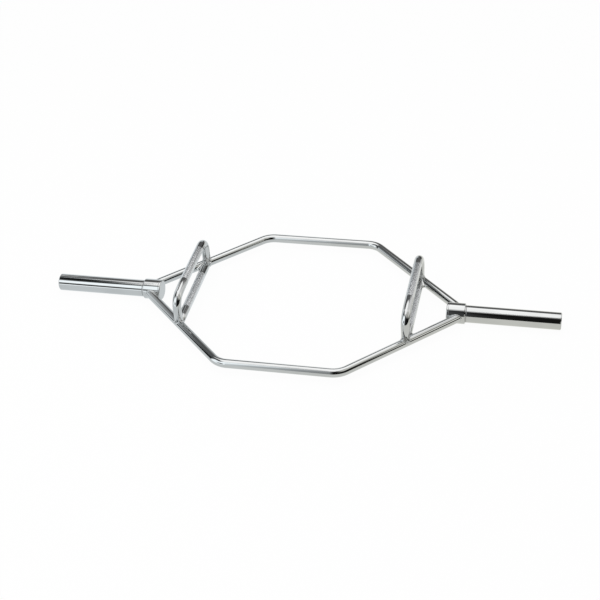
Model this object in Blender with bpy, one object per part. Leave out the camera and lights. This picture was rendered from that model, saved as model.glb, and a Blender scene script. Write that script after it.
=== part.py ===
"""Hexagonal deadlift bar with raised and level grips and turning 50 mm plate sleeves.

The lifter stands inside the frame. Two bent rails of round steel meet a collar on each side, and each
collar carries a spindle on which a plate sleeve turns in two bronze bushes. X runs along the sleeves,
Y from the front rail to the rear rail and Z upwards. The origin lies under the middle of the bar, on
the level of the collars' lowest points.
"""

import math

import bmesh
import bpy
from mathutils import Matrix, Vector

# Rails: the two long bent bars of the frame
RAIL_DIAMETER = 0.0254
RUN_LENGTH = 0.344
FRAME_WIDTH = 0.628
ARM_ANGLE = math.radians(45.0)
RAIL_BEND_RADIUS = 0.060

# Grips: level bars between the arms, and bent bars that stand above them
GRIP_LENGTH = 0.309
GRIP_DIAMETER = 0.0254
HANDLE_DIAMETER = 0.0254
HANDLE_HEIGHT = 0.090
HANDLE_BEND_RADIUS = 0.038
HANDLE_INSET = 0.0015
HANDLE_FOOT_TRIM = 0.006

# Collars: welded to the arms, closed by a plate on the lifter's side
COLLAR_DIAMETER = 0.060
COLLAR_LENGTH = 0.0472
COLLAR_EDGE = 0.0015
PLATE_THICKNESS = 0.006
PLATE_ROUNDING = 0.003
WASHER_SEAT_DEPTH = 0.001
WASHER_SEAT_SPACE = 0.0008

# Spindle: the fixed shaft through the collar and the sleeve
SPINDLE_DIAMETER = 0.028
SPINDLE_CHAMFER = 0.0015
SPINDLE_END_SPACE = 0.004
SPINDLE_LAND = 0.004

# Sleeve: the turning tube that holds the weight plates
SLEEVE_DIAMETER = 0.050
SLEEVE_LENGTH = 0.268
SLEEVE_END_CHAMFER = 0.0025
SLEEVE_FOOT_CHAMFER = 0.0005
SLEEVE_BORE_SPACE = 0.004

# Bushes, washers and retaining ring inside the sleeve
BUSH_LENGTH = 0.030
BUSH_WALL = 0.0054
BUSH_CHAMFER = 0.0008
THRUST_WASHER_THICKNESS = 0.004
END_WASHER_THICKNESS = 0.002
END_WASHER_WIDTH = 0.0045
RING_THICKNESS = 0.0015
RING_WIDTH = 0.0034
RING_GROOVE_DEPTH = 0.0012
RING_OPENING = math.radians(20.0)
RING_LUG_RADIUS = 0.0024
RING_LUG_HOLE = 0.0020
RING_LUG_OFFSET = 0.0009

# End plug: the cup that closes the sleeve
PLUG_LENGTH = 0.009
PLUG_FACE = 0.0025
PLUG_WALL = 0.0025
PLUG_RECESS = 0.0005
PLUG_CHAMFER = 0.0006

# Clearances: between seated pieces, and between a turning piece and a still one
SEAT_GAP = 0.0003
RUNNING_GAP = 0.0003

# Faces round the bars, along a right angle of a bend, and round turned pieces and cutters
BAR_SIDES = 24
BEND_STEPS = 12
TURNED_SIDES = 40
INNER_SIDES = 28
CUTTER_SIDES = 32
CORNER_JOIN = 0.00002

# Radii of the collars, spindle and sleeve, and of what seats on them
collar_radius = COLLAR_DIAMETER / 2
spindle_radius = SPINDLE_DIAMETER / 2
sleeve_radius = SLEEVE_DIAMETER / 2
washer_seat = sleeve_radius + WASHER_SEAT_SPACE
washer_bore = spindle_radius + SEAT_GAP
bush_bore = spindle_radius + RUNNING_GAP
bush_radius = bush_bore + BUSH_WALL
bush_seat = bush_radius + SEAT_GAP
sleeve_bore = spindle_radius + SLEEVE_BORE_SPACE
groove_radius = spindle_radius - RING_GROOVE_DEPTH
ring_bore = groove_radius + SEAT_GAP

# Places of the rails' corners and of the point where an arm's centreline meets the sleeves' line
corner_x = RUN_LENGTH / 2
corner_y = FRAME_WIDTH / 2
arm_end_x = corner_x + corner_y / math.tan(ARM_ANGLE)
arm_length = corner_y / math.sin(ARM_ANGLE)
grip_end_y = GRIP_LENGTH / 2
grip_x = arm_end_x - grip_end_y / math.tan(ARM_ANGLE)
handle_foot_y = grip_end_y - HANDLE_INSET

# Places along a sleeve, measured outwards from the collar's outer face
axis_height = collar_radius
collar_reach = COLLAR_LENGTH + SEAT_GAP + PLATE_THICKNESS
collar_face_x = arm_end_x - collar_radius / math.tan(ARM_ANGLE) + collar_reach / 2
plate_start = -collar_reach
spindle_start = plate_start + PLATE_THICKNESS + SEAT_GAP
washer_start = SEAT_GAP - WASHER_SEAT_DEPTH
washer_end = washer_start + THRUST_WASHER_THICKNESS
sleeve_start = washer_end + RUNNING_GAP
sleeve_end = sleeve_start + SLEEVE_LENGTH
plug_end = sleeve_end - PLUG_RECESS
plug_start = plug_end - PLUG_LENGTH
spindle_end = plug_start - SPINDLE_END_SPACE
groove_end = spindle_end - SPINDLE_LAND
ring_start = groove_end - SEAT_GAP - RING_THICKNESS
groove_start = ring_start - SEAT_GAP
end_washer_start = ring_start - SEAT_GAP - END_WASHER_THICKNESS
outer_bush_end = end_washer_start - RUNNING_GAP
outer_bush_start = outer_bush_end - BUSH_LENGTH
inner_bush_start = sleeve_start + RUNNING_GAP
inner_bush_end = inner_bush_start + BUSH_LENGTH

# Finishes: colour, roughness and metallic value
FINISHES = {
    "chrome": ((0.78, 0.79, 0.80), 0.08, 1.0),
    "satin steel": ((0.66, 0.67, 0.68), 0.28, 1.0),
    "ground steel": ((0.56, 0.57, 0.58), 0.32, 1.0),
    "bronze": ((0.62, 0.42, 0.20), 0.35, 1.0),
    "spring steel": ((0.12, 0.12, 0.13), 0.40, 1.0),
}


def clear_scene():
    """Remove whatever the scene holds."""
    for item in list(bpy.data.objects):
        bpy.data.objects.remove(item, do_unlink=True)


def finish_material(name, finish):
    """Material of one piece, in one of the finishes above."""
    colour, roughness, metallic = FINISHES[finish]
    material = bpy.data.materials.new(name + "_finish")
    material.use_nodes = True
    shader = material.node_tree.nodes["Principled BSDF"]
    shader.inputs["Base Color"].default_value = (*colour, 1.0)
    shader.inputs["Roughness"].default_value = roughness
    shader.inputs["Metallic"].default_value = metallic
    material.diffuse_color = (*colour, 1.0)
    return material


def empty(name, location, turn=0.0, parent=None):
    """Empty that places a group of pieces, turned about Z."""
    item = bpy.data.objects.new(name, None)
    item.empty_display_size = 0.05
    item.location = location
    item.rotation_euler = (0.0, 0.0, turn)
    item.parent = parent
    bpy.context.collection.objects.link(item)
    return item


def piece(name, solid, finish, parent, turn=0.0):
    """Object of one sub-part, from a bmesh that it uses up."""
    bmesh.ops.recalc_face_normals(solid, faces=solid.faces)
    mesh = bpy.data.meshes.new(name)
    solid.to_mesh(mesh)
    solid.free()
    mesh.shade_smooth()
    mesh.set_sharp_from_angle(angle=math.radians(32.0))
    mesh.materials.append(finish_material(name, finish))
    item = bpy.data.objects.new(name, mesh)
    item.rotation_euler = (0.0, 0.0, turn)
    item.parent = parent
    bpy.context.collection.objects.link(item)
    return item


def cutter(name, solid, parent):
    """Tool for a cut, shown as wires and left out of renders."""
    item = piece(name, solid, "ground steel", parent)
    item.hide_render = True
    item.display_type = "WIRE"
    return item


def cut(item, *tools):
    """Take each tool's space away from a piece, and join the corners that the cuts leave together."""
    for tool in tools:
        change = item.modifiers.new("Cut " + tool.name, "BOOLEAN")
        change.operation = "DIFFERENCE"
        change.solver = "EXACT"
        change.object = tool
    weld = item.modifiers.new("Join corners", "WELD")
    weld.merge_threshold = CORNER_JOIN


def whole(face):
    """A face with its edges and corners, so that extruding it leaves no face inside."""
    return [face, *face.edges, *face.verts]


def bent_bar(diameter, start, heading, moves):
    """Round bar bent cold, which starts at a point and follows its moves.

    A move is ("straight", length) or ("bend", axis, angle, radius), with the radius to the centreline.
    """
    solid = bmesh.new()
    place = Vector(start)
    heading = Vector(heading).normalized()
    facing = heading.to_track_quat("Z", "Y").to_matrix().to_4x4()
    ring = bmesh.ops.create_circle(solid, cap_ends=True, segments=BAR_SIDES, radius=diameter / 2,
                                   matrix=Matrix.Translation(place) @ facing)
    end = ring["verts"][0].link_faces[0]
    for kind, *sizes in moves:
        if kind == "straight":
            step = heading * sizes[0]
            grown = bmesh.ops.extrude_face_region(solid, geom=whole(end))["geom"]
            corners = [part for part in grown if isinstance(part, bmesh.types.BMVert)]
            bmesh.ops.translate(solid, verts=corners, vec=step)
            place += step
        else:
            axis, angle, radius = Vector(sizes[0]), sizes[1], sizes[2]
            centre = place + axis.cross(heading) * radius
            steps = max(3, round(BEND_STEPS * angle / math.radians(90.0)))
            spun = bmesh.ops.spin(solid, geom=whole(end), cent=centre, axis=axis, angle=angle,
                                  steps=steps)
            grown = spun["geom_last"]
            swing = Matrix.Rotation(angle, 3, axis)
            place = centre + swing @ (place - centre)
            heading = swing @ heading
        end = next(part for part in grown if isinstance(part, bmesh.types.BMFace))
    return solid


def turned(outline, sides):
    """Solid turned about X, from a closed outline of (along, radius) points."""
    solid = bmesh.new()
    corners = [solid.verts.new((along, 0.0, radius)) for along, radius in outline]
    edges = [solid.edges.new((corners[i - 1], corners[i])) for i in range(len(corners))]
    bmesh.ops.spin(solid, geom=corners + edges, cent=(0.0, 0.0, 0.0), axis=(1.0, 0.0, 0.0),
                   angle=math.tau, steps=sides, use_merge=True)
    bmesh.ops.remove_doubles(solid, verts=solid.verts, dist=1e-6)
    loose = [edge for edge in solid.edges if not edge.link_faces]
    bmesh.ops.delete(solid, geom=loose, context="EDGES")
    return solid


def rod(diameter, start, end):
    """Straight round rod between two points, its corners turned away from those of what it cuts."""
    start, end = Vector(start), Vector(end)
    solid = bmesh.new()
    facing = (end - start).to_track_quat("Z", "Y").to_matrix().to_4x4()
    half_face = Matrix.Rotation(math.pi / CUTTER_SIDES, 4, "Z")
    place = Matrix.Translation((start + end) / 2) @ facing @ half_face
    bmesh.ops.create_cone(solid, cap_ends=True, segments=CUTTER_SIDES, radius1=diameter / 2,
                          radius2=diameter / 2, depth=(end - start).length, matrix=place)
    return solid


def tube_outline(start, end, bore, radius, chamfer):
    """Outline of a plain ring or bush with both outer edges chamfered."""
    return [
        (start, bore), (end, bore), (end, radius - chamfer), (end - chamfer, radius),
        (start + chamfer, radius), (start, radius - chamfer),
    ]


def arc(centre, radius, first, last, steps):
    """Points of an arc, both ends included, with angles in radians."""
    angles = [first + (last - first) * i / steps for i in range(steps + 1)]
    return [(centre[0] + radius * math.cos(a), centre[1] + radius * math.sin(a)) for a in angles]


def frame_rail(name, turn, frame, collar_cutters):
    """Long bar of the frame: arm, bend, run, bend and arm, coped to both collars."""
    setback = RAIL_BEND_RADIUS * math.tan(ARM_ANGLE / 2)
    arm = ("straight", arm_length - setback)
    bend = ("bend", (0.0, 0.0, 1.0), ARM_ANGLE, RAIL_BEND_RADIUS)
    run = ("straight", RUN_LENGTH - 2 * setback)
    outwards = (math.cos(ARM_ANGLE), -math.sin(ARM_ANGLE), 0.0)
    solid = bent_bar(RAIL_DIAMETER, (-arm_end_x, 0.0, 0.0), outwards, [arm, bend, run, bend, arm])
    rail = piece(name, solid, "chrome", frame, turn)
    cut(rail, *collar_cutters)
    return rail


def arm_cutter(side_name, end_name, side, end):
    """Space that one arm takes, with the gap of a welded joint round it."""
    first = (side * arm_end_x, 0.0, 0.0)
    last = (side * corner_x, end * corner_y, 0.0)
    solid = rod(RAIL_DIAMETER + 2 * SEAT_GAP, first, last)
    return cutter(f"{side_name}_{end_name}_arm_cutter", solid, frame_plane)


def level_grip(name, side, arm_cutters):
    """Straight bar between the two arms of one side, coped to both."""
    ends = [(side * grip_x, end * grip_end_y, 0.0) for end in (-1, 1)]
    length = (Vector(ends[1]) - Vector(ends[0])).length
    grip = piece(name, bent_bar(GRIP_DIAMETER, ends[0], (0, 1, 0), [("straight", length)]),
                 "satin steel", frame_plane)
    cut(grip, *arm_cutters)
    return grip


def raised_handle(name, side, arm_cutters, grip_cutter):
    """Bar bent to a bridge, whose feet are coped to the arms and to the level grip's ends."""
    bend = ("bend", (-1.0, 0.0, 0.0), math.radians(90.0), HANDLE_BEND_RADIUS)
    leg = ("straight", HANDLE_HEIGHT - HANDLE_BEND_RADIUS - HANDLE_FOOT_TRIM)
    top = ("straight", 2 * (handle_foot_y - HANDLE_BEND_RADIUS))
    foot = (side * grip_x, -handle_foot_y, HANDLE_FOOT_TRIM)
    solid = bent_bar(HANDLE_DIAMETER, foot, (0, 0, 1), [leg, bend, top, bend, leg])
    handle = piece(name, solid, "satin steel", frame_plane)
    cut(handle, *arm_cutters, grip_cutter)
    return handle


def collar_outline():
    """Boss that the arms are welded to, bored for the spindle, with a shallow seat for the thrust washer."""
    start = spindle_start
    bore = spindle_radius + SEAT_GAP
    return [
        (start, bore), (-WASHER_SEAT_DEPTH, bore), (-WASHER_SEAT_DEPTH, washer_seat),
        (0.0, washer_seat), (0.0, collar_radius - COLLAR_EDGE),
        (-COLLAR_EDGE, collar_radius), (start, collar_radius),
    ]


def plate_outline():
    """Disc on the collar's inner end, rounded towards the lifter."""
    end = plate_start + PLATE_THICKNESS
    centre = (plate_start + PLATE_ROUNDING, collar_radius - PLATE_ROUNDING)
    rounded = arc(centre, PLATE_ROUNDING, math.radians(90.0), math.radians(180.0), 4)
    return [(end, 0.0), (end, collar_radius)] + rounded + [(plate_start, 0.0)]


def spindle_outline():
    """Fixed shaft with the groove of its retaining ring and a chamfered end."""
    return [
        (spindle_start, 0.0), (spindle_start, spindle_radius),
        (groove_start, spindle_radius), (groove_start, groove_radius),
        (groove_end, groove_radius), (groove_end, spindle_radius),
        (spindle_end - SPINDLE_CHAMFER, spindle_radius),
        (spindle_end, spindle_radius - SPINDLE_CHAMFER), (spindle_end, 0.0),
    ]


def sleeve_outline():
    """Plate sleeve: bored through, with a deeper seat for the bush at each end."""
    inner_seat = inner_bush_end + SEAT_GAP
    outer_seat = outer_bush_start - SEAT_GAP
    return [
        (sleeve_start, bush_seat), (inner_seat, bush_seat), (inner_seat, sleeve_bore),
        (outer_seat, sleeve_bore), (outer_seat, bush_seat), (sleeve_end, bush_seat),
        (sleeve_end, sleeve_radius - SLEEVE_END_CHAMFER),
        (sleeve_end - SLEEVE_END_CHAMFER, sleeve_radius),
        (sleeve_start + SLEEVE_FOOT_CHAMFER, sleeve_radius),
        (sleeve_start, sleeve_radius - SLEEVE_FOOT_CHAMFER),
    ]


def plug_outline():
    """Cup pressed into the sleeve's end, open towards the spindle."""
    radius = bush_seat - SEAT_GAP
    inside = radius - PLUG_WALL
    floor = plug_end - PLUG_FACE
    return [
        (plug_start, inside), (floor, inside), (floor, 0.0), (plug_end, 0.0),
        (plug_end, radius - PLUG_CHAMFER), (plug_end - PLUG_CHAMFER, radius), (plug_start, radius),
    ]


def ring_solid():
    """Retaining ring: an open ring with a lug and a hole at each end, lying across X."""
    ring_radius = ring_bore + RING_WIDTH
    lug_centre = ring_bore + RING_LUG_RADIUS + RING_LUG_OFFSET
    lug_angle = RING_OPENING / 2 + math.asin(RING_LUG_RADIUS / lug_centre)
    reach = (lug_centre ** 2 + ring_radius ** 2 - RING_LUG_RADIUS ** 2) / (2 * lug_centre * ring_radius)
    ring_from = lug_angle + math.acos(reach)
    lug = (lug_centre * math.cos(lug_angle), lug_centre * math.sin(lug_angle))
    meet = (ring_radius * math.cos(ring_from), ring_radius * math.sin(ring_from))
    lug_first = lug_angle - math.radians(90.0)
    lug_last = math.atan2(meet[1] - lug[1], meet[0] - lug[0])
    first_lug = arc(lug, RING_LUG_RADIUS, lug_first, lug_last, 8)
    back = arc((0.0, 0.0), ring_radius, ring_from, math.tau - ring_from, INNER_SIDES)[1:-1]
    second_lug = [(x, -y) for x, y in reversed(first_lug)]
    inside = arc((0.0, 0.0), ring_bore, math.tau - lug_angle, lug_angle, INNER_SIDES)
    outline = first_lug + back + second_lug + inside
    solid = bmesh.new()
    corners = [solid.verts.new((ring_start, -y, x)) for x, y in outline]
    face = solid.faces.new(corners)
    grown = bmesh.ops.extrude_face_region(solid, geom=whole(face))["geom"]
    moved = [part for part in grown if isinstance(part, bmesh.types.BMVert)]
    bmesh.ops.translate(solid, verts=moved, vec=(RING_THICKNESS, 0.0, 0.0))
    return solid, lug


def retaining_ring(name, parent):
    """Open spring ring in the spindle's groove, with a plier hole in each lug."""
    solid, (lug_height, lug_side) = ring_solid()
    ring = piece(name, solid, "spring steel", parent)
    for hand in (-1, 1):
        before = (ring_start - RING_THICKNESS, hand * lug_side, lug_height)
        after = (ring_start + 2 * RING_THICKNESS, hand * lug_side, lug_height)
        hole = rod(RING_LUG_HOLE, before, after)
        cut(ring, cutter(f"{name}_hole_{hand:+d}", hole, parent))
    return ring


def sleeve_side(side_name, turn):
    """Collar, spindle, sleeve and what lies inside it, on one side of the frame."""
    reach = collar_face_x * math.cos(turn)
    collar_face = empty(f"{side_name}_collar_face", (reach, 0.0, axis_height), turn)
    sleeve_axis = empty(f"{side_name}_sleeve_axis", (0.0, 0.0, 0.0), parent=collar_face)
    end_washer_radius = washer_bore + END_WASHER_WIDTH
    fixed = {
        "collar": (collar_outline(), TURNED_SIDES, "chrome"),
        "collar_plate": (plate_outline(), TURNED_SIDES, "chrome"),
        "spindle": (spindle_outline(), INNER_SIDES, "ground steel"),
        "thrust_washer": (tube_outline(washer_start, washer_end, washer_bore, sleeve_radius,
                                       SLEEVE_FOOT_CHAMFER), TURNED_SIDES, "satin steel"),
        "end_washer": (tube_outline(end_washer_start, end_washer_start + END_WASHER_THICKNESS,
                                    washer_bore, end_washer_radius, SLEEVE_FOOT_CHAMFER),
                       INNER_SIDES, "ground steel"),
    }
    turning = {
        "sleeve": (sleeve_outline(), TURNED_SIDES, "chrome"),
        "inner_bush": (tube_outline(inner_bush_start, inner_bush_end, bush_bore, bush_radius,
                                    BUSH_CHAMFER), INNER_SIDES, "bronze"),
        "outer_bush": (tube_outline(outer_bush_start, outer_bush_end, bush_bore, bush_radius,
                                    BUSH_CHAMFER), INNER_SIDES, "bronze"),
        "end_plug": (plug_outline(), INNER_SIDES, "chrome"),
    }
    for parent, pieces in ((collar_face, fixed), (sleeve_axis, turning)):
        for part_name, (outline, sides, finish) in pieces.items():
            piece(f"{side_name}_{part_name}", turned(outline, sides), finish, parent)
    retaining_ring(f"{side_name}_retaining_ring", collar_face)


clear_scene()
frame_plane = empty("frame_plane", (0.0, 0.0, axis_height))

for sleeve_name, half_turn in (("right", 0.0), ("left", math.pi)):
    sleeve_side(sleeve_name, half_turn)

collar_spaces = []
for hand_name, hand in (("left", -1), ("right", 1)):
    inner = (hand * (collar_face_x - 2 * collar_reach), 0.0, 0.0)
    outer = (hand * (collar_face_x + 2 * collar_reach), 0.0, 0.0)
    space = rod(COLLAR_DIAMETER + 2 * SEAT_GAP, inner, outer)
    collar_spaces.append(cutter(f"{hand_name}_collar_cutter", space, frame_plane))

frame_rail("front_frame_rail", 0.0, frame_plane, collar_spaces)
frame_rail("rear_frame_rail", math.pi, frame_plane, collar_spaces)

for hand_name, hand in (("left", -1), ("right", 1)):
    arms = [arm_cutter(hand_name, "front", hand, -1), arm_cutter(hand_name, "rear", hand, 1)]
    level_grip(f"{hand_name}_level_grip", hand, arms)
    grip_space = rod(GRIP_DIAMETER + 2 * SEAT_GAP, (hand * grip_x, -grip_end_y, 0.0),
                     (hand * grip_x, grip_end_y, 0.0))
    grip_tool = cutter(f"{hand_name}_grip_cutter", grip_space, frame_plane)
    raised_handle(f"{hand_name}_raised_handle", hand, arms, grip_tool)
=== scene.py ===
"""Looks of a hexagonal deadlift bar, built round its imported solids.

The frame's bent bars, grips, collars and sleeves are made again as smooth bright metal, with the
diamond knurl of the hand lengths, the ripples of the welds and the filled corners of the level
grips as real shape. The inner pieces keep their solids and get their own metals. Everything is in
metres: X runs along the sleeves, Y from the front rail to the rear rail and Z upwards.
"""

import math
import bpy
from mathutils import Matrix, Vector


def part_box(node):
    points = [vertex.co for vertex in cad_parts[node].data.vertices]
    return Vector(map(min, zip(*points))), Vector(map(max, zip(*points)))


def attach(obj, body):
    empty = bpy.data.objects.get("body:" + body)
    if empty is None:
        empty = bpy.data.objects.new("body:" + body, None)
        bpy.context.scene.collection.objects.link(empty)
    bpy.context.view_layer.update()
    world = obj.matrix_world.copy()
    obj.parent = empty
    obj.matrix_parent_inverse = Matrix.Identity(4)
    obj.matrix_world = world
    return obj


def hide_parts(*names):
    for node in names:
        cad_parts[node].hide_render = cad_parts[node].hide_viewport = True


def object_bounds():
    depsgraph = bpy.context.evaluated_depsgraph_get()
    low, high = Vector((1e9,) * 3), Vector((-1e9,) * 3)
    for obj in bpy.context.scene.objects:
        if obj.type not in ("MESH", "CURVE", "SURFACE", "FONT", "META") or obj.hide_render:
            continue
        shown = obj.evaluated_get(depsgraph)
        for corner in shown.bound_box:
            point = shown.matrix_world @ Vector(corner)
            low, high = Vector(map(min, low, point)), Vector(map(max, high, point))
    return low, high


bl_info = {
    "name": "Hexagonal Deadlift Bar",
    "version": (1, 0, 0),
    "blender": (4, 5, 0),
    "location": "View3D > Sidebar > Deadlift Bar",
    "description": "Builds the bright metal, knurl, welds and studio of a hexagonal deadlift bar",
    "category": "Add Mesh",
}

import bmesh
import bpy
from bpy.props import FloatProperty, FloatVectorProperty, IntProperty, PointerProperty
from bpy.types import Operator, Panel, PropertyGroup
from mathutils import Matrix, Vector

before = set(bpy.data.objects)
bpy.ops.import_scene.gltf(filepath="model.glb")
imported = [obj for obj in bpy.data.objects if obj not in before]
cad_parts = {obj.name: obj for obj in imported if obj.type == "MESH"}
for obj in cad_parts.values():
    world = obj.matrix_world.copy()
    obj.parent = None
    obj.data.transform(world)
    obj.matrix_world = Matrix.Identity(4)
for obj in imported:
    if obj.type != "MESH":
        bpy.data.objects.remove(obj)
cad_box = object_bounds()

SIDES = {"left": -1, "right": 1}
ENDS = {"front": -1, "rear": 1}

# Fits and fine sizes, in metres
SAME_PLACE = 1e-6        # corners nearer than this are one
WELDED_IN = 0.001        # how far an end reaches into what it is welded to
RUNNING_GAP = 0.0003     # round the spindle, and between plug and sleeve
WASHER_GAP = 0.0008      # round the thrust washer in its seat
SEAT_DEPTH = 0.001       # of the washer's seat in the collar
FOOT_CHAMFER = 0.0005    # of the washer, and of the sleeve where it meets the washer
KNURL_MARGIN = 0.0005    # between the knurl and a bend

# Faces along a grip's plain end, the gentle start of a bend and the collar plate's rounding
END_STEPS = 2
LEAD_STEPS = 12
ROUNDING_STEPS = 10

# Angles between faces past which an edge looks sharp or is rounded
SMOOTH_ANGLE = math.radians(32.0)
WELD_SMOOTH_ANGLE = math.radians(70.0)
ROUNDED_ANGLE = math.radians(25.0)

rail_low, rail_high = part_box("front_frame_rail")
grip_low, grip_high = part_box("right_level_grip")
handle_low, handle_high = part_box("right_raised_handle")
collar_low, collar_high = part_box("right_collar")
plate_low, plate_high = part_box("right_collar_plate")
ring_low, ring_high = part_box("right_thrust_washer")
sleeve_low, sleeve_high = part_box("right_sleeve")
plug_low, plug_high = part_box("right_end_plug")
spindle_low, spindle_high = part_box("right_spindle")

axis_height = (sleeve_low.z + sleeve_high.z) / 2
axis_point = Vector((0.0, 0.0, axis_height))
collar_radius = (collar_high.z - collar_low.z) / 2
sleeve_radius = (sleeve_high.z - sleeve_low.z) / 2
spindle_bore = (spindle_high.z - spindle_low.z) / 2 + RUNNING_GAP


class BarRailSizes(PropertyGroup):
    """Sizes of the two long bent bars."""

    diameter: FloatProperty(
        name="Diameter", description="Diameter of the round steel",
        default=rail_high.z - rail_low.z, min=0.01, unit="LENGTH")
    spacing: FloatProperty(
        name="Spacing", description="Distance between the front and rear runs, centre to centre",
        default=-2 * rail_low.y - (rail_high.z - rail_low.z), min=0.1, unit="LENGTH")
    run_length: FloatProperty(
        name="Run Length", description="Length of a run between the corners of its two bends",
        default=0.344, min=0.1, unit="LENGTH")
    arm_angle: FloatProperty(
        name="Arm Angle", description="Angle between an arm and the sleeves' line",
        default=math.radians(45.0), subtype="ANGLE", unit="ROTATION")
    bend_radius: FloatProperty(
        name="Bend Radius", description="Radius of each bend, to the bar's centre", default=0.060,
        min=0.01, unit="LENGTH")


class BarGripSizes(PropertyGroup):
    """Sizes of the level grips and of the raised handles."""

    diameter: FloatProperty(
        name="Diameter", description="Diameter of the grips and handles",
        default=grip_high.x - grip_low.x, min=0.01, unit="LENGTH")
    spacing: FloatProperty(
        name="Spacing", description="Distance between the left and right grips, centre to centre",
        default=grip_low.x + grip_high.x, min=0.1, unit="LENGTH")
    foot_spacing: FloatProperty(
        name="Foot Spacing", description="Distance between the two feet of a raised handle",
        default=(handle_high.y - handle_low.y) - (handle_high.x - handle_low.x), unit="LENGTH")
    rise: FloatProperty(
        name="Rise", description="Height of a raised handle's centre above the frame's centre",
        default=handle_high.z - (handle_high.x - handle_low.x) / 2 - axis_height, unit="LENGTH")
    rear_bend_radius: FloatProperty(
        name="Rear Bend Radius", description="Radius of a raised handle's rear bend",
        default=0.038, min=0.01, unit="LENGTH")
    front_bend_radius: FloatProperty(
        name="Front Bend Radius", description="Radius of a raised handle's front bend",
        default=0.034, min=0.01, unit="LENGTH")
    lead_start: FloatProperty(
        name="Lead Start", description="Where the gentle start of the front bend begins",
        default=-0.076, unit="LENGTH")
    lead_angle: FloatProperty(
        name="Lead Angle", description="How far the gentle start of the front bend turns",
        default=math.radians(7.0), min=0.01, subtype="ANGLE", unit="ROTATION")
    crown: FloatProperty(
        name="Crown", description="How far a raised handle's ends drop below its middle",
        default=0.0008, min=0.0, unit="LENGTH")
    foot_trim: FloatProperty(
        name="Foot Trim", description="Height above the frame's centre where a foot stops",
        default=0.006, min=0.0, unit="LENGTH")
    raised_knurl_front: FloatProperty(
        name="Raised Knurl Front", description="Where the knurl of a raised handle begins",
        default=-0.068, unit="LENGTH")
    raised_knurl_rear: FloatProperty(
        name="Raised Knurl Rear", description="Where the knurl of a raised handle ends",
        default=0.094, unit="LENGTH")
    level_knurl_front: FloatProperty(
        name="Level Knurl Front", description="Where the knurl of a level grip begins",
        default=-0.082, unit="LENGTH")
    level_knurl_rear: FloatProperty(
        name="Level Knurl Rear", description="Where the knurl of a level grip ends", default=0.088,
        unit="LENGTH")
    knurl_teeth: IntProperty(
        name="Knurl Teeth", description="Diamonds round the bar", default=48, min=12, max=80)
    knurl_angle: FloatProperty(
        name="Knurl Angle", description="Angle of the knurl's grooves to the bar",
        default=math.radians(30.0), subtype="ANGLE", unit="ROTATION")
    knurl_depth: FloatProperty(
        name="Knurl Depth", description="Depth of the grooves between the diamonds",
        default=0.00012, min=0.0, unit="LENGTH")


class BarSleeveSizes(PropertyGroup):
    """Sizes of the collars and of the turning sleeves."""

    collar_edge: FloatProperty(
        name="Collar Edge", description="Chamfer at the collar's outer end", default=0.0015,
        unit="LENGTH")
    plate_rounding: FloatProperty(
        name="Plate Rounding", description="Radius of the collar plate's edge", default=0.0030,
        unit="LENGTH")
    sleeve_chamfer: FloatProperty(
        name="Sleeve Chamfer", description="Chamfer that leads plates onto the sleeve",
        default=0.0025, unit="LENGTH")
    bore_wall: FloatProperty(
        name="Bore Wall", description="Wall between the sleeve's bush seat and its outside",
        default=0.0050, unit="LENGTH")
    edge_break: FloatProperty(
        name="Edge Break", description="Small rounding of every turned edge", default=0.0003,
        unit="LENGTH")


class BarWeldSizes(PropertyGroup):
    """Sizes of the weld beads."""

    bead_radius: FloatProperty(
        name="Bead Radius", description="Radius of a weld bead", default=0.0022, unit="LENGTH")
    corner_fill: FloatProperty(
        name="Corner Fill", description="Length of weld along each bar in a grip's sharp corner",
        default=0.0155, min=0.001, unit="LENGTH")
    ripple_pitch: FloatProperty(
        name="Ripple Pitch", description="Distance between the ripples of a bead", default=0.0026,
        unit="LENGTH")
    ripple_share: FloatProperty(
        name="Ripple Share", description="Depth of the ripples as a share of the bead's radius",
        default=0.10, min=0.0, max=0.5)


class BarFinishes(PropertyGroup):
    """Colours and gloss of the metals."""

    chrome_colour: FloatVectorProperty(
        name="Chrome Colour", description="Colour of the bright plating",
        default=(0.549, 0.556, 0.554), min=0.0, max=1.0, subtype="COLOR", size=3)
    chrome_roughness: FloatProperty(
        name="Chrome Roughness", description="Roughness of the bright plating", default=0.030,
        min=0.0, max=1.0)
    knurl_roughness: FloatProperty(
        name="Knurl Roughness", description="Roughness of the knurl's faces", default=0.32,
        min=0.0, max=1.0)
    weld_roughness: FloatProperty(
        name="Weld Roughness", description="Roughness of the plated welds", default=0.12, min=0.0,
        max=1.0)
    steel_colour: FloatVectorProperty(
        name="Steel Colour", description="Colour of the spindles and washers",
        default=(0.50, 0.50, 0.50), min=0.0, max=1.0, subtype="COLOR", size=3)
    bronze_colour: FloatVectorProperty(
        name="Bronze Colour", description="Colour of the bushes", default=(0.52, 0.30, 0.12),
        min=0.0, max=1.0, subtype="COLOR", size=3)
    spring_colour: FloatVectorProperty(
        name="Spring Colour", description="Colour of the retaining rings",
        default=(0.06, 0.06, 0.065), min=0.0, max=1.0, subtype="COLOR", size=3)


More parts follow.
